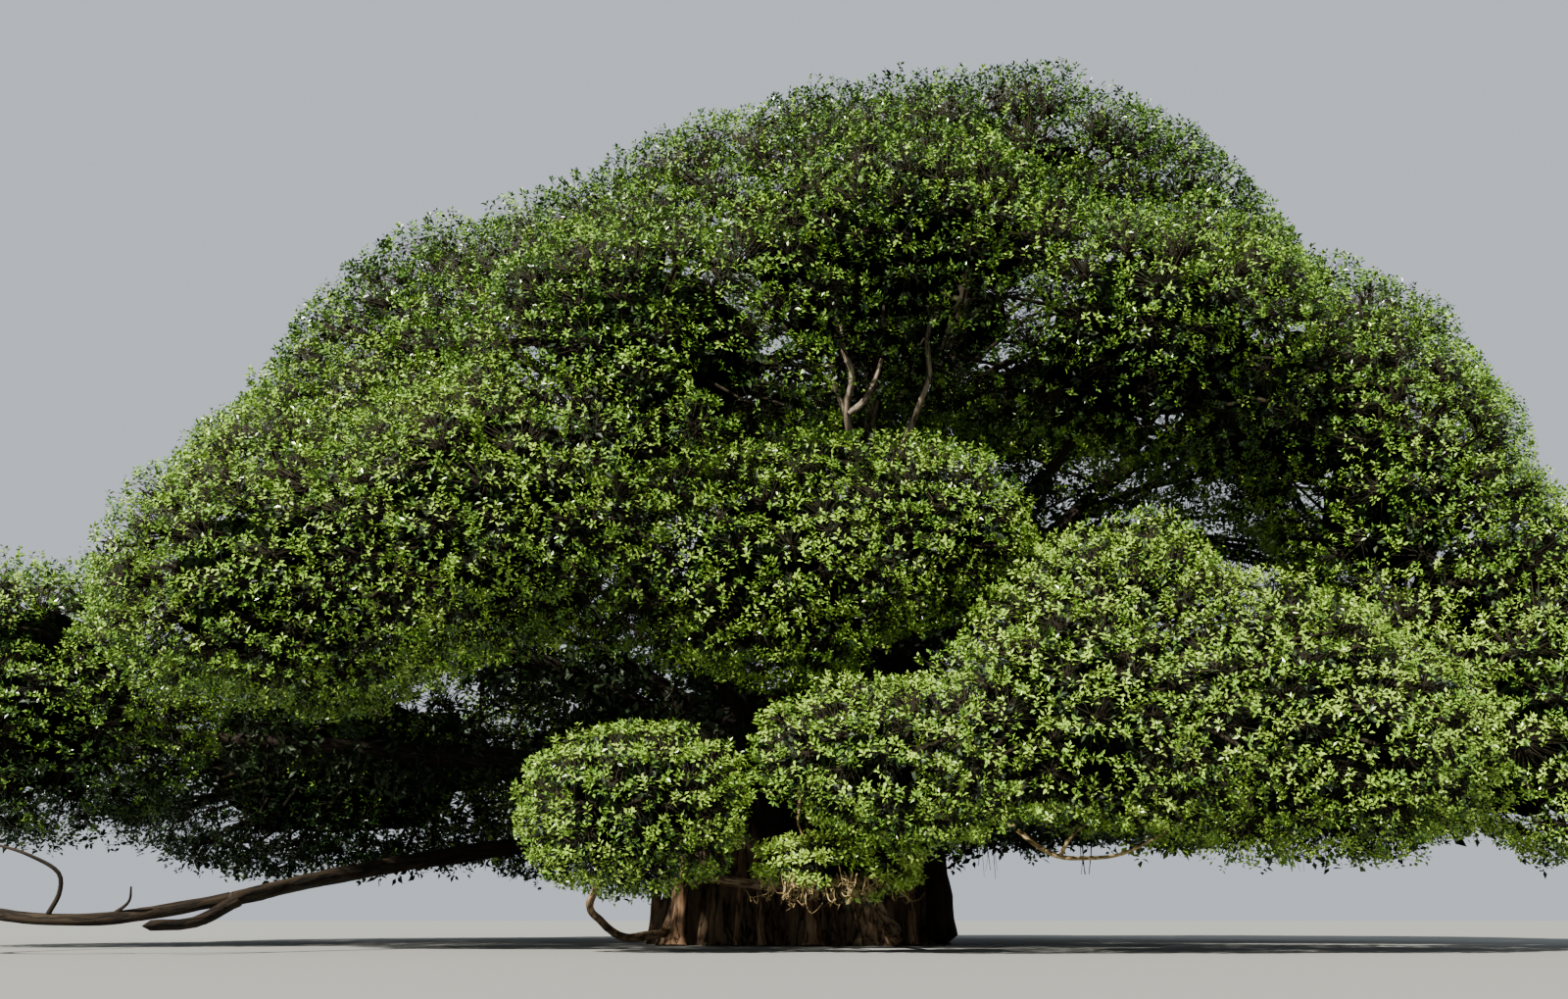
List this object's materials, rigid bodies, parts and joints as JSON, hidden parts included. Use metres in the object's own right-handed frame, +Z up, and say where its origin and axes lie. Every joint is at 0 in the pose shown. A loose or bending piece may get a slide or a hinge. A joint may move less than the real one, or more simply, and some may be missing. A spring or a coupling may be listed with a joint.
{
  "type": "banyan tree",
  "caption": "Old wide-crowned fig tree with a stout trunk of fused hanging roots, spreading boughs and a dense domed crown of dark glossy leaves.",
  "frame": {"origin": "middle of the trunk's flat cut at ground level", "axes": "+Z up along the trunk; +X to the right and +Y away from the viewer in the pictured view, whose face is -Y"},
  "size_m": [39.465, 31.8359, 19.708],
  "materials": {
    "bark": "rough grey-brown bark",
    "foliage": "dense dark green leaves, glossy on top"
  },
  "bodies": {
    "root": {"bough_back_low_left": "bark", "bough_back_low_right": "bark", "bough_back_mid_left": "bark", "bough_back_mid_right": "bark", "bough_back_top": "bark", "bough_far_left": "bark", "bough_far_right_low": "bark", "bough_front_upper": "bark", "bough_left": "bark", "bough_left_front": "bark", "bough_mid_front": "bark", "bough_right_far": "bark", "bough_right_low": "bark", "bough_right_upper": "bark", "bough_top": "bark", "bough_top_left": "bark", "bough_top_right": "bark", "bough_upper_left": "bark", "foliage_belt_back_1": "foliage", "foliage_belt_back_2": "foliage", "foliage_belt_back_3": "foliage", "foliage_crown_top": "foliage", "foliage_far_left": "foliage", "foliage_far_right": "foliage", "foliage_far_right_low": "foliage", "foliage_front_upper": "foliage", "foliage_front_upper_left": "foliage", "foliage_left_front": "foliage", "foliage_left_shoulder": "foliage", "foliage_left_slope": "foliage", "foliage_low_centre": "foliage", "foliage_low_front": "foliage", "foliage_low_left": "foliage", "foliage_mid_front": "foliage", "foliage_mid_right": "foliage", "foliage_right_far": "foliage", "foliage_right_high": "foliage", "foliage_right_low_a": "foliage", "foliage_right_low_b": "foliage", "foliage_right_mid": "foliage", "foliage_right_upper": "foliage", "foliage_shoulder_back_1": "foliage", "foliage_shoulder_back_2": "foliage", "foliage_skirt_back_1": "foliage", "foliage_skirt_back_2": "foliage", "foliage_skirt_back_3": "foliage", "foliage_skirt_back_4": "foliage", "foliage_top_back": "foliage", "foliage_top_left": "foliage", "foliage_top_right": "foliage", "foliage_upper_far_left": "foliage", "foliage_upper_left": "foliage", "low_cross_bough": "bark", "low_front_bough": "bark", "low_left_arm": "bark", "low_left_bough": "bark", "low_left_limb": "bark", "low_left_stub": "bark", "right_root": "bark", "trunk": "bark"}
  },
  "joints": []
}
